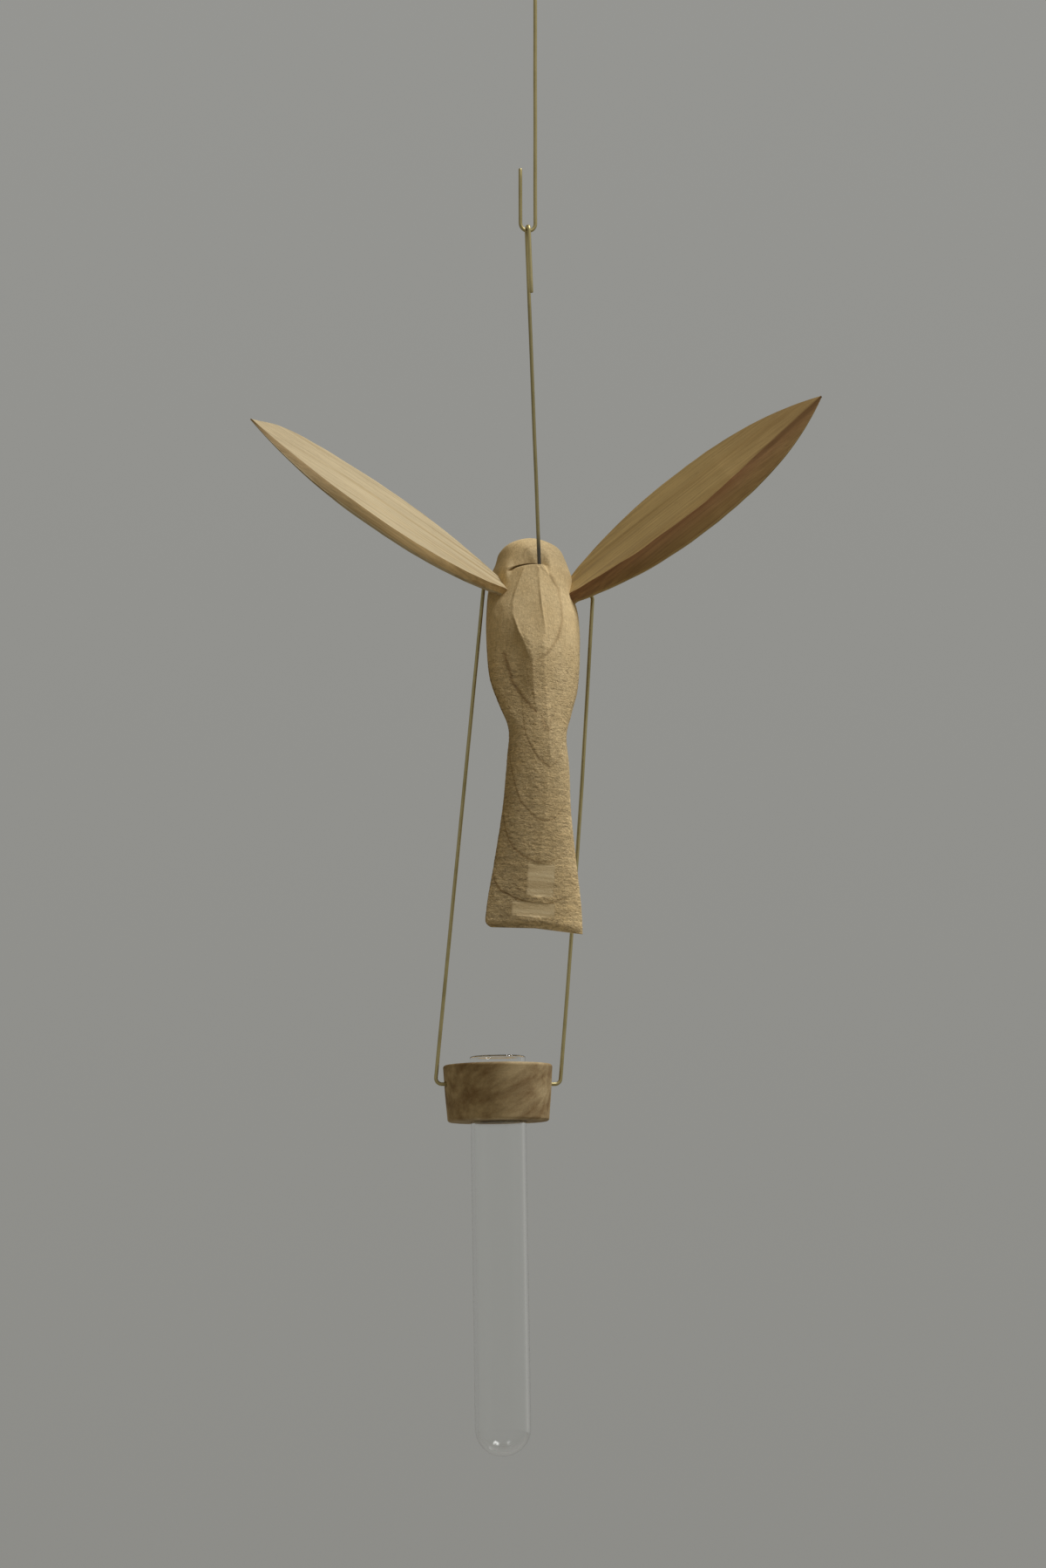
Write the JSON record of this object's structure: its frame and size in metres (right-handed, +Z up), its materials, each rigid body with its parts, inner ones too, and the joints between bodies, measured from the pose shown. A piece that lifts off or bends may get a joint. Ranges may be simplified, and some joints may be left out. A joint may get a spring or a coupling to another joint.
{
  "type": "hanging bird vase",
  "caption": "Hand-carved wooden bird with raised leaf wings, hung on a brass wire hook; a wire bail under it swings a turned wooden collar that grips a round-bottomed glass tube vase.",
  "frame": {"origin": "the inside of the hook's upper bend seen from above: the top of its wire, where it bears on what it hangs from", "axes": "+Z up along the hook's shank, +Y the way the bird faces, +X to the bird's right"},
  "size_m": [0.159, 0.0477, 0.4184],
  "materials": {
    "brass_wire": "dull, hand-bent wire",
    "body_wood": "unfinished, knife-cut",
    "wing_wood": "unfinished, planed",
    "collar_wood": "unfinished, turned",
    "tube_glass": "clear"
  },
  "bodies": {
    "hook": {"ceiling_hook": "brass_wire"},
    "bird": {"hanging_wire": "brass_wire", "bird_body": "body_wood", "left_wing": "wing_wood", "right_wing": "wing_wood", "left_wing_pin": "brass_wire", "right_wing_pin": "brass_wire"},
    "bail": {"tube_bail": "brass_wire"},
    "collar": {"tube_collar": "collar_wood"},
    "tube": {"glass_tube": "tube_glass"}
  },
  "joints": [
    {"name": "bird_swing", "type": "hinge", "parent": "hook", "child": "bird", "pos_m": [0, 0, -0.085], "axis": [1, 0, 0], "range_deg": [-40, 40]},
    {"name": "bail_swing", "type": "hinge", "parent": "bird", "child": "bail", "pos_m": [0.0022, 0.0035, -0.183], "axis": [0.9986, 0, -0.0523], "range_deg": [-60, 90]},
    {"name": "collar_tilt", "type": "hinge", "parent": "bail", "child": "collar", "pos_m": [-0.0074, 0.0035, -0.3179], "axis": [0.9999, 0, 0.0157], "range_deg": [-60, 60]},
    {"name": "tube_pull", "type": "slide", "parent": "collar", "child": "tube", "axis": [0.0157, 0, -0.9999], "range_m": [0, 0.03]}
  ]
}
